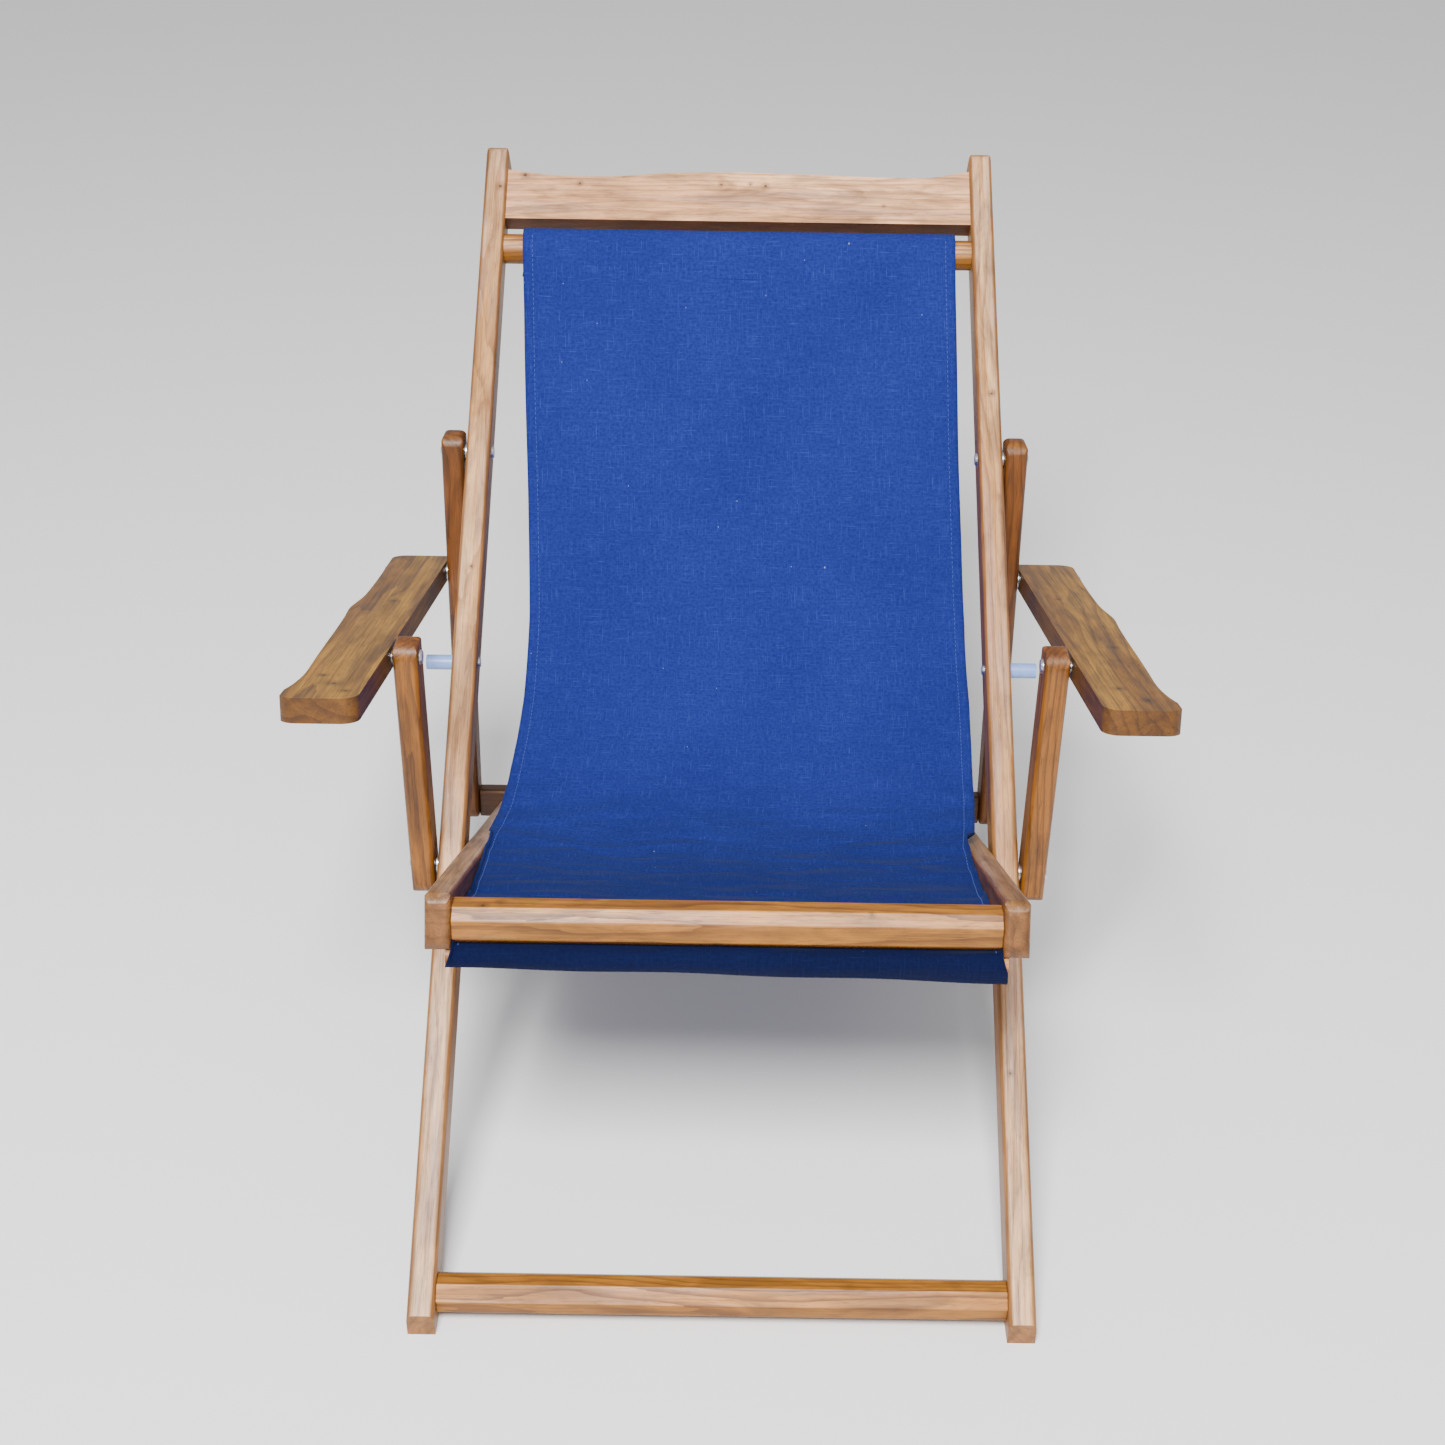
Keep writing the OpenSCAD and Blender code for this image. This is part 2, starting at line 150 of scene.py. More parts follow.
def wood(name, pale, mid, dark, turn, seed, painted_shade, painted_light_dir=(0, -0.6, 0.8), painted_light_range=(0.75, 0.95), ring_mm=7.0,
         ring_depth=0.6, patch=0.9, grey=0.0, knots=()):
    """Oiled hardwood whose grain runs along the piece: turn brings the piece's length to Y.

    Painted light and shade: faces that look towards the given light direction are painted pale,
    more so as their facing goes from the first to the second value of the given range, and the
    others get the painted shade colour. patch is the share of mid tone, grey that of weathered
    streaks, and a knot is its place in the frame and its size.
    """
    t = Tree(name)
    coordinates = t.add("TexCoord")
    place = coordinates.outputs["Object"]
    light_facing = t.add("VectorMath", {0: coordinates.outputs["Normal"], 1: painted_light_dir},
                   operation="DOT_PRODUCT").outputs["Value"]
    along = t.stretch(place, (1, 1, 1), turn=turn)
    # a slow wander of the rings, so that faces show drawn-out arches and waves
    drift = t.add("TexNoise", {"Vector": t.stretch(along, (11, 2.4, 11), shift=(seed, seed * 0.7, 0)),
                               "Scale": 1.0, "Detail": 2.0}).outputs["Color"]
    wander = t.add("VectorMath", {0: drift, 1: (0.5, 0.5, 0.5)}, operation="SUBTRACT").outputs[0]
    wander = t.add("VectorMath", {0: wander, "Scale": 0.06}, operation="SCALE").outputs[0]
    bent = t.add("VectorMath", {0: t.stretch(along, (1, 0.04, 1), shift=(0.031 * seed, 0, 0.05)),
                                1: wander}, operation="ADD").outputs[0]
    knot_dark = None
    for x, y, z, size in knots:
        gap = t.add("VectorMath", {0: place, 1: (x, y, z)}, operation="DISTANCE").outputs["Value"]
        gap = t.math("ADD", gap, t.math("MULTIPLY", t.noise(place, 190, 2), size * 0.8))
        spot = t.ramp(gap, size * 0.8, size * 1.5, 1.0, 0.0)
        halo = t.math("MULTIPLY", t.ramp(gap, size * 1.2, size * 3.4, 1.0, 0.0), 0.45)
        spot = t.math("MAXIMUM", spot, halo)
        knot_dark = spot if knot_dark is None else t.math("MAXIMUM", knot_dark, spot)
    rings = t.add("TexWave", {"Vector": bent, "Scale": 1000 * WAVE_PITCH / ring_mm, "Distortion": 4.0,
                              "Detail": 3.0, "Detail Scale": 1.6, "Detail Roughness": 0.62},
                  wave_type="RINGS", rings_direction="Y", wave_profile="SAW").outputs["Fac"]
    fibre = t.noise(t.stretch(along, (620, 9, 620), shift=(seed, 0, 0)), 1.0, 4.0, 0.7)
    streak = t.noise(t.stretch(along, (110, 2.6, 110), shift=(0, seed, 0)), 1.0, 3.0, 0.6)
    figure = t.noise(t.stretch(along, (48, 9, 48), shift=(seed, 3, seed)), 1.0, 3.0, 0.6, 1.4)
    tone = t.noise(t.stretch(along, (26, 3.0, 26), shift=(seed, seed, 0)), 1.0, 2.0)
    pores = t.ramp(t.noise(t.stretch(along, (1300, 60, 1300)), 1.0, 2.0), 0.6, 0.72)
    base = t.mix(t.math("MULTIPLY", t.ramp(tone, 0.4, 0.62), patch), pale, mid)
    base = t.mix(t.math("MULTIPLY", t.ramp(streak, 0.45, 0.72), 0.8), base, mid)
    # thin grey streaks, then the painted light and shade by facing, then the dark of rings, figure, fibres
    # and pores
    weathered = t.noise(t.stretch(along, (75, 5, 75), shift=(seed, 0, seed)), 1.0, 3.0, 0.6)
    base = t.mix(t.math("MULTIPLY", t.ramp(weathered, 0.45, 0.66), grey), base, rgb(172, 144, 136))
    # painted light and shade: faces turned towards the light direction are painted pale, the others take the
    # painted shade colour
    painted_light_share = t.math("ADD", light_facing, t.math("MULTIPLY", t.math("SUBTRACT", tone, 0.5), 0.35))
    base = t.mix(t.ramp(painted_light_share, painted_light_range[0], painted_light_range[1]), painted_shade, base)
    base = t.mix(t.math("MULTIPLY", t.ramp(rings, 0.5, 1.0), ring_depth), base, dark)
    base = t.mix(t.math("MULTIPLY", t.ramp(figure, 0.52, 0.75), 0.5), base, dark)
    base = t.mix(t.math("MULTIPLY", t.ramp(fibre, 0.42, 0.78), 0.6), base, dark)
    base = t.mix(t.math("MULTIPLY", pores, 0.6), base, dark)
    # soft light and dark patches, as planed wood shows
    cloud = t.noise(t.stretch(along, (62, 13, 62), shift=(0, seed, seed)), 1.0, 4.0, 0.62, 0.6)
    base = t.mix(1.0, base, t.ramp(cloud, 0.34, 0.66, 0.7, 1.18), blend_type="MULTIPLY")
    if knot_dark is not None:
        deep = tuple(c * 0.25 for c in dark[:3]) + (1,)
        base = t.mix(t.math("MULTIPLY", knot_dark, 0.85), base, deep)
    t.put(t.shader.inputs["Base Color"], base)
    t.put(t.shader.inputs["Roughness"], t.ramp(fibre, 0.2, 0.8, 0.42, 0.6))
    relief = t.math("SUBTRACT", t.math("MULTIPLY", fibre, 0.6), pores)
    bump = t.add("Bump", {"Strength": 0.25, "Distance": 0.0006, "Height": relief})
    t.put(t.shader.inputs["Normal"], bump.outputs["Normal"])
    t.shader.inputs["Specular IOR Level"].default_value = 0.4
    t.shader.inputs["Coat Weight"].default_value = 0.1
    t.shader.inputs["Coat Roughness"].default_value = 0.28
    return t.material


def canvas(name, base_rgb, deep_rgb, pale_rgb, front):
    """Plain-woven canvas. The UV map is in metres across and along the cloth, front is the length
    at which it turns under the seat's front edge."""
    t = Tree(name)
    uv = t.add("UVMap", uv_map="cloth").outputs["UV"]
    thread = 0.0013
    warp = t.add("TexWave", {"Vector": uv, "Scale": WAVE_PITCH / thread, "Distortion": 0.6, "Detail": 1.0},
                 wave_type="BANDS", bands_direction="X", wave_profile="SIN").outputs["Fac"]
    weft = t.add("TexWave", {"Vector": uv, "Scale": WAVE_PITCH / thread, "Distortion": 0.6, "Detail": 1.0},
                 wave_type="BANDS", bands_direction="Y", wave_profile="SIN").outputs["Fac"]
    weave = t.math("MULTIPLY", warp, weft)
    slub_x = t.noise(t.stretch(uv, (40, 900, 1)), 1.0, 3.0, 0.6)
    slub_y = t.noise(t.stretch(uv, (900, 40, 1), shift=(3, 7, 0)), 1.0, 3.0, 0.6)
    slub = t.math("MAXIMUM", slub_x, slub_y)
    mottle = t.noise(t.stretch(uv, (320, 320, 1)), 1.0, 2.0, 0.7)
    cloud = t.noise(t.stretch(uv, (7, 5, 1)), 1.0, 2.0)
    lint = t.ramp(t.noise(t.stretch(uv, (330, 210, 1), shift=(11, 5, 0)), 1.0, 0.0), 0.9, 0.915)
    colour = t.mix(t.ramp(cloud, 0.3, 0.7, 0.0, 0.22), base_rgb, deep_rgb)
    colour = t.mix(t.ramp(mottle, 0.35, 0.7, 0.0, 0.5), colour, deep_rgb)
    colour = t.mix(t.ramp(slub, 0.54, 0.8, 0.0, 0.55), colour, pale_rgb)
    colour = t.mix(t.ramp(weave, 0.0, 0.35, 0.3, 0.0), colour, deep_rgb)
    colour = t.mix(t.math("MULTIPLY", lint, 0.6), colour, rgb(150, 160, 190))
    # painted shade: the seat is painted darker than the back, and the pocket under the front rail darker
    # still, towards a near-black blue
    down = t.add("SeparateXYZ", {"Vector": uv}).outputs["Y"]
    painted_shade_share = t.math("ADD", t.ramp(down, front - 0.42, front - 0.12, 0.0, 0.47),
                   t.ramp(down, front - 0.05, front - 0.01, 0.0, 0.38))
    colour = t.mix(painted_shade_share, colour, rgb(6, 8, 22))
    t.put(t.shader.inputs["Base Color"], colour)
    height = t.math("ADD", weave, t.math("MULTIPLY", slub, 0.9))
    bump = t.add("Bump", {"Strength": 0.35, "Distance": 0.0005, "Height": height})
    # creases, deepest where the seat is sat in
    crease = t.noise(t.stretch(uv, (11, 30, 1), shift=(2, 9, 0)), 1.0, 1.0, 0.4, 0.5)
    depth = t.ramp(down, front - 0.4, front - 0.22, 0.18, 1.0)
    folds = t.add("Bump", {"Strength": 1.0, "Distance": 0.012, "Height": t.math("MULTIPLY", crease, depth),
                           "Normal": bump.outputs["Normal"]})
    t.put(t.shader.inputs["Normal"], folds.outputs["Normal"])
    t.shader.inputs["Roughness"].default_value = 0.92
    t.shader.inputs["Specular IOR Level"].default_value = 0.05
    t.shader.inputs["Sheen Weight"].default_value = 0.03
    t.shader.inputs["Sheen Roughness"].default_value = 0.5
    t.shader.inputs["Sheen Tint"].default_value = (0.45, 0.6, 1.0, 1)
    return t.material


def steel(name):
    """Zinc-plated steel with fine turning marks."""
    t = Tree(name)
    place = t.add("TexCoord").outputs["Object"]
    grey = t.noise(place, 700, 3.0)
    t.put(t.shader.inputs["Base Color"], t.mix(grey, (0.55, 0.56, 0.58, 1), (0.78, 0.79, 0.8, 1)))
    t.put(t.shader.inputs["Roughness"], t.ramp(grey, 0.3, 0.7, 0.24, 0.42))
    bump = t.add("Bump", {"Strength": 0.08, "Distance": 0.0002, "Height": grey})
    t.put(t.shader.inputs["Normal"], bump.outputs["Normal"])
    t.shader.inputs["Metallic"].default_value = 1.0
    return t.material


def nylon(name):
    """Bluish white moulded nylon with a faint moulding mottle."""
    t = Tree(name)
    place = t.add("TexCoord").outputs["Object"]
    cloud = t.noise(place, 120, 3.0)
    grain = t.noise(place, 1500, 2.0)
    t.put(t.shader.inputs["Base Color"], t.mix(cloud, rgb(120, 150, 212), rgb(146, 172, 224)))
    t.put(t.shader.inputs["Roughness"], t.ramp(grain, 0.3, 0.7, 0.3, 0.42))
    bump = t.add("Bump", {"Strength": 0.06, "Distance": 0.0002, "Height": grain})
    t.put(t.shader.inputs["Normal"], bump.outputs["Normal"])
    t.shader.inputs["Subsurface Weight"].default_value = 0.15
    t.shader.inputs["Subsurface Radius"].default_value = (0.003, 0.003, 0.004)
    t.shader.inputs["Subsurface Scale"].default_value = 1.0
    return t.material


def thread_material(name):
    """Blue sewing thread with a fine twist."""
    t = Tree(name)
    place = t.add("TexCoord").outputs["Object"]
    twist = t.noise(place, 2500, 2.0)
    t.put(t.shader.inputs["Base Color"], t.mix(twist, rgb(44, 62, 130), rgb(72, 94, 166)))
    bump = t.add("Bump", {"Strength": 0.3, "Distance": 0.0002, "Height": twist})
    t.put(t.shader.inputs["Normal"], bump.outputs["Normal"])
    t.shader.inputs["Roughness"].default_value = 0.7
    return t.material


PALE = rgb(218, 172, 126)
ROSE = rgb(214, 154, 106)
HONEY = rgb(184, 126, 66)
BROWN = rgb(114, 66, 28)
UMBER = rgb(56, 28, 8)

ACROSS = (0, 0, math.pi / 2)


def tilted(angle):
    """Turns a member that rises at this angle in the side view to lie along Y."""
    return (-angle, 0, 0)


def on_member(start, angle, along, off, x):
    """A point in the frame: along a member from its pivot, off its middle line, at x across."""
    return (x, start[1] + along * math.cos(angle) - off * math.sin(angle),
            start[2] + along * math.sin(angle) + off * math.cos(angle))


def dress_wood():
    """Gives each wooden CAD node its own grain direction and tone, and its painted light and shade."""
    rail = centre("top_rail")
    knots_top = [on_member(rail, RECLINE, up, 0.011, x) + (size,) for up, x, size in (
        (0.013, -0.019, 0.002), (0.014, 0.013, 0.0018), (0.012, 0.03, 0.0026), (0.022, -0.236, 0.003),
        (0.012, -0.175, 0.0022), (-0.012, 0.16, 0.0015))]
    knots_stile = [on_member(seat_pivot, RECLINE, at, 0.0195, x) + (size,) for at, x, size in (
        (0.772, -0.262, 0.003), (0.52, 0.27, 0.0022), (0.31, -0.266, 0.0016), (-0.2, 0.264, 0.002))]
    knots_front = [on_member(front_rail, SEAT_SLOPE, off, up, x) + (size,) for off, up, x, size in (
        (-0.012, 0.016, -0.204, 0.0028), (-0.006, 0.019, -0.19, 0.0026), (-0.014, 0.012, 0.12, 0.0018))]
    knots_arm = [on_member(arm_front, ARM_SLOPE, at, 0.011, x) + (size,) for at, x, size in (
        (-0.13, -0.336, 0.004), (-0.105, -0.35, 0.003), (-0.152, -0.322, 0.003), (0.17, -0.335, 0.003),
        (0.03, 0.352, 0.0035), (-0.11, 0.332, 0.0035), (-0.145, 0.35, 0.004), (0.22, 0.33, 0.0026))]
    # each wood's seventh colour, amber for the rails, is its painted shade colour; the keyword direction and
    # range set where its painted light falls
    amber = rgb(148, 94, 22)
    stile = wood("wood_main_stile", PALE, HONEY, BROWN, tilted(RECLINE), 1.7, rgb(144, 96, 48),
                 ring_depth=0.45, patch=0.7, grey=0.5, knots=knots_stile)
    top = wood("wood_top_rail", rgb(242, 186, 138), ROSE, BROWN, ACROSS, 3.1, rgb(96, 52, 20), painted_light_range=(0.5, 0.8),
               ring_mm=9, ring_depth=0.35, patch=0.7, grey=0.45, knots=knots_top)
    rails = wood("wood_cross_rails", rgb(200, 142, 84), rgb(166, 106, 40), rgb(94, 52, 14), ACROSS, 5.3,
                 amber, painted_light_dir=(0, -0.71, 0.71), painted_light_range=(0.78, 0.94), ring_depth=0.75, grey=0.35, knots=knots_front)
    seat = wood("wood_seat_rail", rgb(154, 112, 68), rgb(118, 76, 36), UMBER, tilted(SEAT_SLOPE), 7.9,
                rgb(120, 76, 36), painted_light_dir=(0, 0, 1), painted_light_range=(0.5, 0.8), patch=0.7, ring_mm=11, ring_depth=0.35,
                grey=0.3)
    prop = wood("wood_prop", rgb(136, 84, 24), rgb(106, 60, 16), UMBER, tilted(PROP_SLOPE), 11.3,
                rgb(110, 62, 18), ring_depth=0.6)
    post = wood("wood_post", rgb(146, 92, 30), rgb(112, 62, 20), UMBER, tilted(POST_SLOPE), 13.9,
                rgb(136, 82, 20), painted_light_dir=(0, 0, 1), ring_depth=0.55)
    arm = wood("wood_arm", rgb(152, 106, 24), rgb(114, 72, 12), UMBER, tilted(ARM_SLOPE), 17.1,
               rgb(98, 60, 12), painted_light_dir=(0, 0.28, 0.96), painted_light_range=(0.6, 0.9), ring_mm=13, ring_depth=0.55,
               knots=knots_arm)
    bar = wood("wood_crossbar", rgb(112, 68, 24), rgb(86, 48, 14), UMBER, ACROSS, 19.7, rgb(84, 46, 14))
    for node, material in {
        "main_stile_left": stile, "main_stile_right": stile, "top_rail": top,
        "sling_dowel": rails, "bottom_rail": rails, "seat_front_rail": rails,
        "seat_rear_stretcher": rails, "hem_rod": rails,
        "seat_rail_left": seat, "seat_rail_right": seat,
        "prop_stile_left": prop, "prop_stile_right": prop, "prop_crossbar": bar,
        "arm_post_left": post, "arm_post_right": post, "arm_left": arm, "arm_right": arm,
    }.items():
        paint(nodes[node], material)


def paint(obj, material):
    """Puts one material on every slot of an object."""
    if not obj.material_slots:
        obj.data.materials.append(material)
    for each in obj.material_slots:
        each.material = material


def soften(obj, width, segments=3, angle=30):
    """Rounds a CAD node's sharp edges with modifiers, which leave its mesh alone."""
    weld = obj.modifiers.new("weld", "WELD")
    weld.merge_threshold = 0.00002
    bevel = obj.modifiers.new("round_edges", "BEVEL")
    bevel.width = width
    bevel.segments = segments
    bevel.limit_method = "ANGLE"
    bevel.angle_limit = math.radians(angle)
    bevel.use_clamp_overlap = True
    bevel.harden_normals = False
    normals = obj.modifiers.new("even_normals", "WEIGHTED_NORMAL")
    normals.keep_sharp = False


def dress_hardware():
    """Steel and nylon on the CAD hardware, with softened rims."""
    metal = steel("zinc_steel")
    peg = nylon("white_nylon")
    for name, obj in nodes.items():
        small = ("bolt" in name or "nut" in name or "washer" in name or "screw" in name
                 or "insert" in name)
        if small:
            paint(obj, metal)
            soften(obj, 0.0004, 2)
        elif name == "fold_stop_pegs":
            paint(obj, peg)
            soften(obj, 0.0008, 3)


def dress_edges():
    """Rounds the edges of the wood, more on the arms than on the rails."""
    for name, obj in nodes.items():
        if name.startswith(("main_stile", "seat_rail", "prop_stile", "arm_post")):
            soften(obj, 0.0028, 4)
        elif name in ("arm_left", "arm_right"):
            soften(obj, 0.006, 5)
        elif name in ("top_rail", "prop_crossbar"):
            soften(obj, 0.002)
        elif name in ("bottom_rail", "seat_front_rail"):
            soften(obj, 0.0011, 2)


# ---------------------------------------------------------------- the sling
CLOTH_T = 0.0012
SLING_HALF = 0.2355
# half the clear width between the seat rails
SEAT_HALF = 0.2288
# from a pocket's mouth to its seam
SEAM = 0.03
SHEET_STEP = 0.004
# the sling hangs a little to the right between the dowel and the seat: [share of its length, shift]
SIDE_SHIFT = ((0, .1, .2, .3, .4, .5, .56, .6, .65, .7, .74, 1),
              (.0015, .0047, .0084, .0123, .0163, .0165, .0145, .0125, .01, .005, 0, 0))


def smooth(t):
    """A smooth step from 0 to 1."""
    t = min(max(t, 0.0), 1.0)
    return t * t * (3 - 2 * t)


def wrap(middle, radius, start, end, step=0.003):
    """Side-view points round a rod, from one angle to another, in radians."""
    count = max(2, int(abs(end - start) * radius(start) / step))
    turns = [start + (end - start) * i / count for i in range(count + 1)]
    return [(middle[1] + radius(a) * math.cos(a), middle[2] + radius(a) * math.sin(a)) for a in turns]


def smooth_through(points, step=0.0045):
    """A Catmull-Rom curve through side-view points."""
    pts = [np.array(p, float) for p in points]
    pts = [2 * pts[0] - pts[1]] + pts + [2 * pts[-1] - pts[-2]]
    out = []
    for a, b, c, d in zip(pts, pts[1:], pts[2:], pts[3:]):
        count = max(1, int(np.linalg.norm(c - b) / step))
        for i in range(count):
            u = i / count
            out.append(0.5 * (2 * b + (c - a) * u + (2 * a - 5 * b + 4 * c - d) * u ** 2
                              + (3 * b - a - 3 * c + d) * u ** 3))
    out.append(pts[-2])
    return [tuple(p) for p in out]


def behind(points, distance, gap):
    """A point at a distance along a curve, moved to the side the sitter does not touch."""
    pts = np.array(points)
    steps = np.concatenate([[0], np.cumsum(np.linalg.norm(np.diff(pts, axis=0), axis=1))])
    i = int(np.searchsorted(steps, distance))
    along = (pts[i + 1] - pts[i - 1]) / np.linalg.norm(pts[i + 1] - pts[i - 1])
    return (pts[i][0] - gap * along[1], pts[i][1] + gap * along[0])


def sling_profile():
    """The sling's side view: from the upper pocket's seam, round the dowel, down the back and
    along the seat, round the hem rod, to the lower pocket's seam."""
    r_dowel = (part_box("sling_dowel")[1][2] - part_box("sling_dowel")[0][2]) / 2 + CLOTH_T * 0.75
    r_rod = (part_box("hem_rod")[1][2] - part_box("hem_rod")[0][2]) / 2 + CLOTH_T * 0.75
    # the middle of the sheet, measured from the seat pivot along Y and Z
    sheet = [(0.505, 0.337), (0.449, 0.248), (0.392, 0.165), (0.341, 0.102), (0.284, 0.0615),
             (0.215, 0.0355), (0.151, 0.0245), (0.076, 0.0225), (-0.006, 0.032),
             (-0.083, 0.056), (-0.155, 0.083), (-0.205, 0.1)]
    sheet = [(seat_pivot[1] + y, seat_pivot[2] + z) for y, z in sheet]
    leave = math.atan2(sheet[0][1] - sheet[1][1], sheet[0][0] - sheet[1][0]) + math.pi / 2
    arrive = math.radians(103)

    def loose(angle):
        return r_dowel + 0.005 * max(0.0, math.cos(angle - math.radians(72))) ** 2

    def tight(angle):
        return r_rod

    wrap_top = wrap(dowel, loose, leave - math.radians(262), leave)
    wrap_rod = wrap(hem_rod, tight, arrive, arrive + math.radians(240))
    main = smooth_through([wrap_top[-1]] + sheet[1:] + [wrap_rod[0]])
    length = sum(math.dist(a, b) for a, b in zip(main, main[1:]))
    seam_top = behind(main, SEAM, 1.3 * CLOTH_T)
    seam_rod = behind(main, length - SEAM, 1.3 * CLOTH_T)
    points = [seam_top] + wrap_top[:-1] + main + wrap_rod[1:] + [seam_rod]
    lengths = np.concatenate([[0], np.cumsum([math.dist(a, b) for a, b in zip(points, points[1:])])])
    first = len(wrap_top)
    last = first + len(main) - 1
    return np.array(points), lengths, lengths[first], lengths[last]


def sling_surface(u, s, profile):
    """A point and the outward normal of the sling at -1 <= u <= 1 across and length s along."""
    points, lengths, main_start, main_end = profile
    y = np.interp(s, lengths, points[:, 0])
    z = np.interp(s, lengths, points[:, 1])
    ds = 0.004
    ty = np.interp(s + ds, lengths, points[:, 0]) - np.interp(s - ds, lengths, points[:, 0])
    tz = np.interp(s + ds, lengths, points[:, 1]) - np.interp(s - ds, lengths, points[:, 1])
    size = math.hypot(ty, tz) or 1.0
    ny, nz = tz / size, -ty / size
    share = (s - main_start) / (main_end - main_start)
    x = u * SLING_HALF + np.interp(share, *SIDE_SHIFT)
    held = smooth(share / 0.08) * smooth((1 - share) / 0.1)
    # between the seat rails the edges have no room and turn up along the rails
    free, rails_start, rails_blend, pocket_blend = 0.05, 0.66, 0.07, 0.02
    room = SLING_HALF + free + (SEAT_HALF - SLING_HALF - free) * smooth((share - rails_start) / rails_blend)
    room += (SLING_HALF - SEAT_HALF) * smooth((s - main_end) / pocket_blend) + 2 * free * (share < 0)
    spare = max(0.0, abs(x) - room)
    x = math.copysign(min(abs(x), room), x)
    # the middle bellies down, the edges wave, and soft folds run out from the seat's corners
    lift = -0.005 * (1 - u * u) * held + spare * 0.9
    lift += 0.0018 * math.sin(2 * math.pi * s / 0.21 + (1.3 if u > 0 else 0.2)) * abs(u) ** 8 * held
    seat = smooth((share - 0.55) / 0.12)
    lift += held * (0.0008 * math.sin(95 * (s - 0.35 * abs(x)) + 5 * x)
                    + 0.0006 * math.sin(150 * s + 30 * x)) * seat * (0.25 + abs(u) ** 2)
    lift += held * 0.0009 * math.sin(33 * (s * 0.8 + x) + 1.0) * (1 - seat)
    lift += held * 0.0007 * math.sin(21 * (s - 1.3 * x) + 2.0)
    # the lower pocket hangs slack towards its right end
    below = smooth((hem_rod[2] - z) / 0.008)
    slack = 0.0085 * ((x / SLING_HALF + 1) / 2) ** 1.5 + 0.0008 * math.sin(37 * x)
    z -= slack * below * (s > main_end)
    return (x, y + ny * lift, z + nz * lift), (0, ny, nz)


def strip_mesh(name, rows, uvs):
    """A mesh from rows of points and their UVs, each row running across the strip."""
    wide = len(rows[0])
    verts = [p for row in rows for p in row]
    faces = [(r * wide + c, r * wide + c + 1, (r + 1) * wide + c + 1, (r + 1) * wide + c)
             for r in range(len(rows) - 1) for c in range(wide - 1)]
    mesh = bpy.data.meshes.new(name)
    mesh.from_pydata(verts, [], faces)
    layer = mesh.uv_layers.new(name="cloth")
    flat = [uv for row in uvs for uv in row]
    for loop in mesh.loops:
        layer.data[loop.index].uv = flat[loop.vertex_index]
    mesh.polygons.foreach_set("use_smooth", [True] * len(mesh.polygons))
    obj = bpy.data.objects.new(name, mesh)
    bpy.context.scene.collection.objects.link(obj)
    return obj


def apply_modifiers(obj):
    """Replaces an object's mesh with its finished one."""
    depsgraph = bpy.context.evaluated_depsgraph_get()
    finished = bpy.data.meshes.new_from_object(obj.evaluated_get(depsgraph))
    obj.modifiers.clear()
    obj.data = finished


def make_sling(profile, material):
    """The sling as one sheet with its two rod pockets, thick enough to see its edge."""
    across, total = 96, profile[1][-1]
    along = int(total / SHEET_STEP)
    rows, uvs = [], []
    for i in range(along + 1):
        s = total * i / along
        line = [2 * j / across - 1 for j in range(across + 1)]
        rows.append([sling_surface(u, s, profile)[0] for u in line])
        uvs.append([(u * SLING_HALF, s) for u in line])
    sling = strip_mesh("sling_cloth", rows, uvs)
    sling.data.materials.append(material)
    shell = sling.modifiers.new("thickness", "SOLIDIFY")
    shell.thickness = CLOTH_T
    shell.offset = 0
    apply_modifiers(sling)
    return sling


def make_side_hems(profile, material):
    """The folded side hems, a second layer under each long edge."""
    hems = []
    hem_w, hem_step = 0.0125, 0.006
    main_start, main_end = profile[2], profile[3]
    for side, label in ((-1, "left"), (1, "right")):
        rows, uvs = [], []
        count = int((main_end - main_start - 2 * SEAM) / hem_step)
        for i in range(count + 1):
            s = main_start + SEAM + (main_end - main_start - 2 * SEAM) * i / count
            row, uv_row = [], []
            for step in range(4):
                u = side * (1 - step / 3 * hem_w / SLING_HALF)
                place, normal = sling_surface(u, s, profile)
                drop = CLOTH_T * (1.02 if step < 3 else 0.7)
                row.append(tuple(p - n * drop for p, n in zip(place, normal)))
                uv_row.append((u * SLING_HALF + 0.3, s))
            rows.append(row if side > 0 else row[::-1])
            uvs.append(uv_row if side > 0 else uv_row[::-1])
        hem = strip_mesh("side_hem_" + label, rows, uvs)
        hem.data.materials.append(material)
        shell = hem.modifiers.new("thickness", "SOLIDIFY")
        shell.thickness = CLOTH_T * 0.8
        shell.offset = 0
        apply_modifiers(hem)
        hems.append(hem)
    return hems


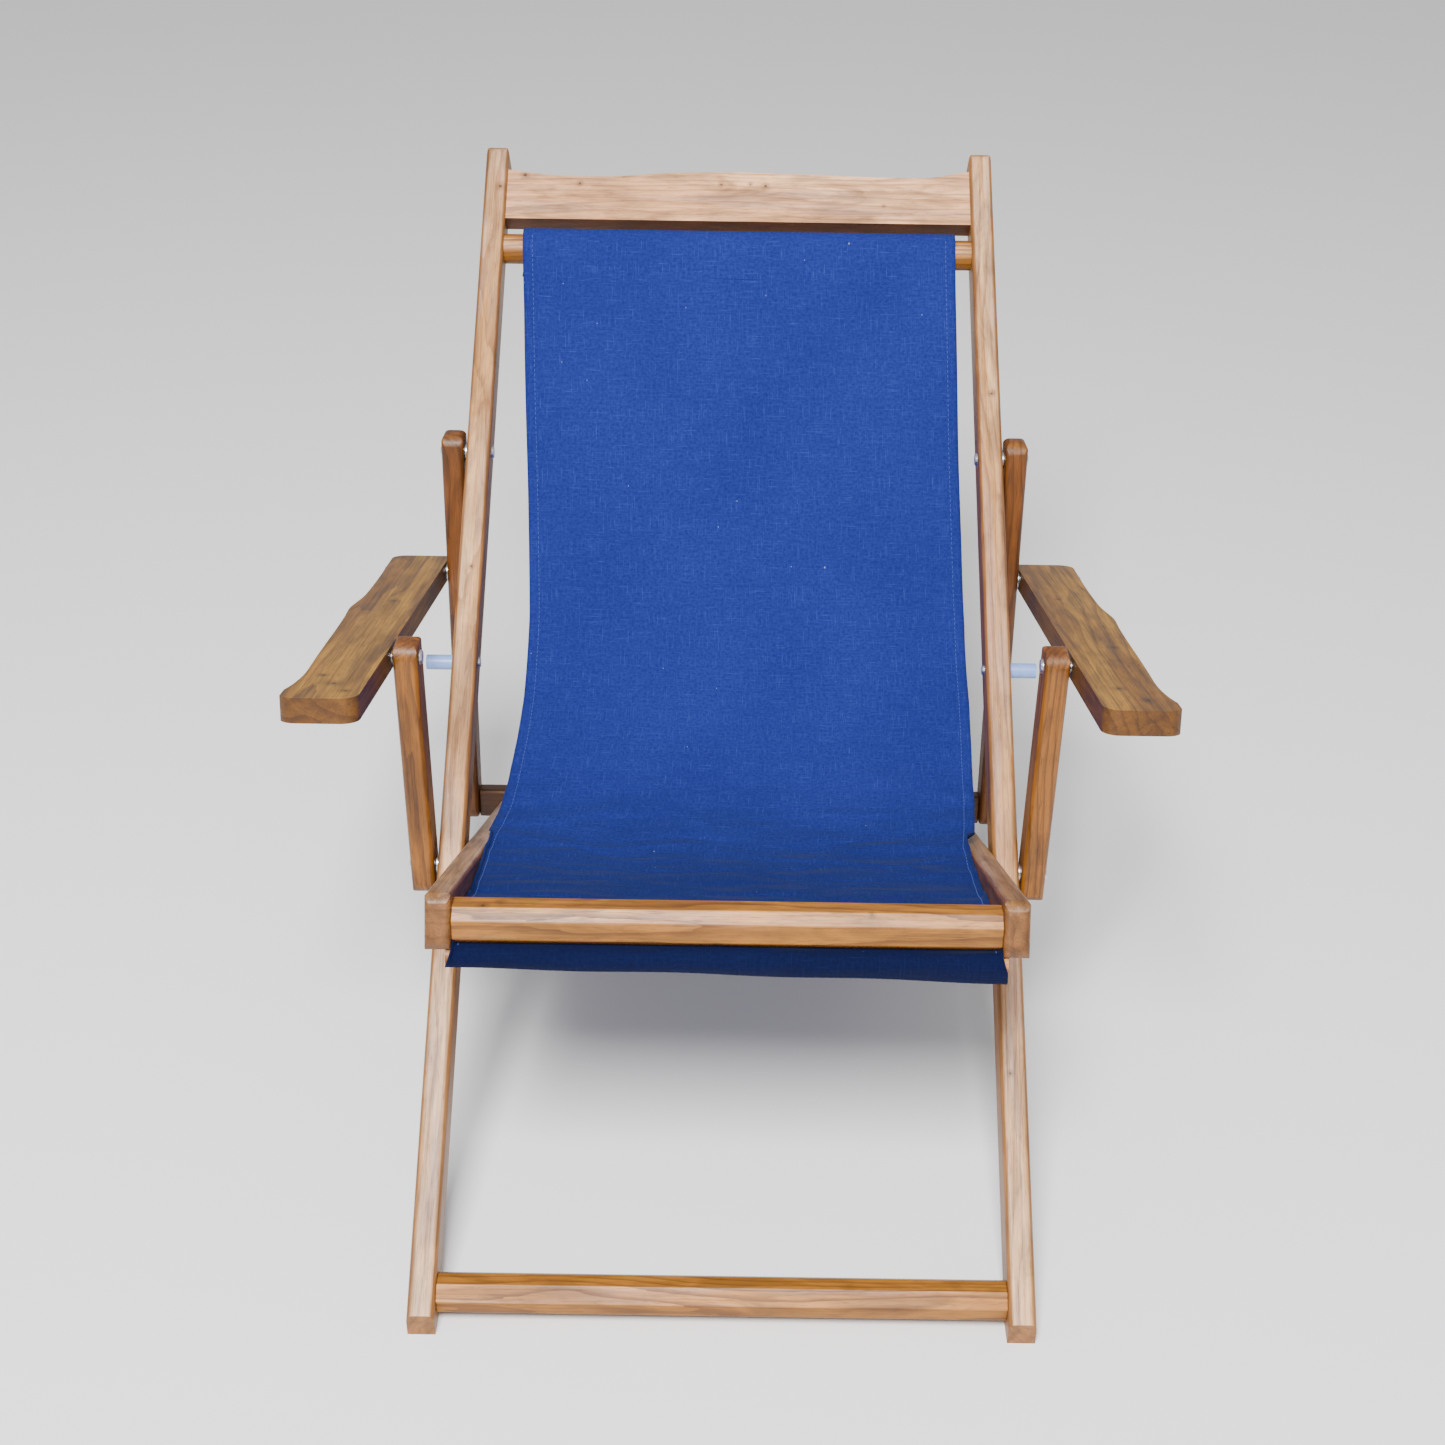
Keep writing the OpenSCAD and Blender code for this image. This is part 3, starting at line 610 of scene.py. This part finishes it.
def make_stitches(profile, material):
    """Rows of stitches along both side hems and, behind, across both pockets."""
    main_start, main_end = profile[2], profile[3]
    stitch, gap, radius = 0.0034, 0.0018, 0.00034
    hem_inset, pocket_inset, end_inset, stop_short = 0.0105, 0.006, 0.012, 0.004
    seats = []
    s = main_start - end_inset
    while s < main_end - stop_short:
        for side in (-1, 1):
            u = side * (1 - hem_inset / SLING_HALF)
            seats.append(((u, s), (u, s + stitch)))
        s += stitch + gap
    for s_row in (pocket_inset, profile[1][-1] - pocket_inset):
        x = -SLING_HALF + end_inset
        while x < SLING_HALF - end_inset - stop_short:
            seats.append(((x / SLING_HALF, s_row), ((x + stitch) / SLING_HALF, s_row)))
            x += stitch + gap
    verts, faces = [], []
    sides = 5
    for (u0, s0), (u1, s1) in seats:
        a, normal = sling_surface(u0, s0, profile)
        b, _ = sling_surface(u1, s1, profile)
        a, b, normal = Vector(a), Vector(b), Vector(normal)
        forward = (b - a).normalized()
        side_way = forward.cross(normal)
        base = len(verts)
        for k, (share, rise) in enumerate(((0.0, -0.2), (0.2, 0.7), (0.5, 1.0), (0.8, 0.7), (1.0, -0.2))):
            middle = a.lerp(b, share) + normal * (CLOTH_T / 2 + radius * rise * 0.8)
            for m in range(sides):
                turn = 2 * math.pi * m / sides
                verts.append(middle + (side_way * math.cos(turn) + normal * math.sin(turn)) * radius)
            if k:
                for m in range(sides):
                    n = (m + 1) % sides
                    low = base + (k - 1) * sides
                    faces.append((low + m, low + n, low + sides + n, low + sides + m))
        faces.append(tuple(base + m for m in reversed(range(sides))))
        faces.append(tuple(base + 4 * sides + m for m in range(sides)))
    mesh = bpy.data.meshes.new("sling_stitching")
    mesh.from_pydata([tuple(v) for v in verts], [], faces)
    mesh.polygons.foreach_set("use_smooth", [True] * len(mesh.polygons))
    mesh.materials.append(material)
    obj = bpy.data.objects.new("sling_stitching", mesh)
    bpy.context.scene.collection.objects.link(obj)
    return obj


def hang_sling():
    """Makes the cloth pieces, hides the CAD sling and bakes the pieces' transforms."""
    profile = sling_profile()
    cloth = canvas("blue_canvas", rgb(38, 51, 128), rgb(14, 22, 80), rgb(68, 88, 176), float(profile[3]))
    sling = make_sling(profile, cloth)
    hems = make_side_hems(profile, cloth)
    stitching = make_stitches(profile, thread_material("blue_thread"))
    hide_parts("sling")
    for piece in [sling, stitching] + hems:
        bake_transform(piece)


# ---------------------------------------------------------------- floor, light and camera
def make_stage():
    """A plain pale floor."""
    mesh = bpy.data.meshes.new("floor")
    size = 12
    mesh.from_pydata([(-size, -size, 0), (size, -size, 0), (size, size, 0), (-size, size, 0)], [],
                     [(0, 1, 2, 3)])
    floor = bpy.data.objects.new("floor", mesh)
    bpy.context.scene.collection.objects.link(floor)
    t = Tree("pale_floor")
    t.shader.inputs["Base Color"].default_value = (0.93, 0.93, 0.93, 1)
    t.shader.inputs["Roughness"].default_value = 0.9
    mesh.materials.append(t.material)


def area_light(name, place, aim, size, power):
    """A square light at place that looks at aim."""
    light = bpy.data.lights.new(name, "AREA")
    light.size = size
    light.energy = power
    obj = bpy.data.objects.new(name, light)
    obj.location = place
    obj.rotation_euler = (Vector(aim) - Vector(place)).to_track_quat("-Z", "Y").to_euler()
    bpy.context.scene.collection.objects.link(obj)


def make_lights():
    """A soft key from above the camera, a weak fill from all round."""
    world = bpy.data.worlds.new("studio")
    bpy.context.scene.world = world
    world.use_nodes = True
    world.node_tree.nodes["Background"].inputs["Color"].default_value = (1, 1, 1, 1)
    world.node_tree.nodes["Background"].inputs["Strength"].default_value = 0.6
    area_light("key", (-0.4, -2.4, 3.5), (0, 0, 0.35), 1.3, 330)


def make_camera():
    """In front and above, looking down, rolled by a little under a degree."""
    camera = bpy.data.cameras.new("camera")
    camera.sensor_width = 36
    camera.lens = 49.83
    camera.shift_x = -0.0055
    obj = bpy.data.objects.new("camera", camera)
    toe_y, in_front, height = cad_box[0][1], 1.19, 1.44
    obj.location = (0, toe_y - in_front, height)
    pitch, roll = math.radians(33.3), math.radians(0.86)
    look = Vector((0, math.cos(pitch), -math.sin(pitch)))
    turn = look.to_track_quat("-Z", "Y").to_matrix().to_4x4()
    obj.rotation_euler = (turn @ Matrix.Rotation(roll, 4, "Z")).to_euler()
    bpy.context.scene.collection.objects.link(obj)
    bpy.context.scene.camera = obj


make_camera()
dress_wood()
dress_hardware()
dress_edges()
hang_sling()
make_stage()
make_lights()
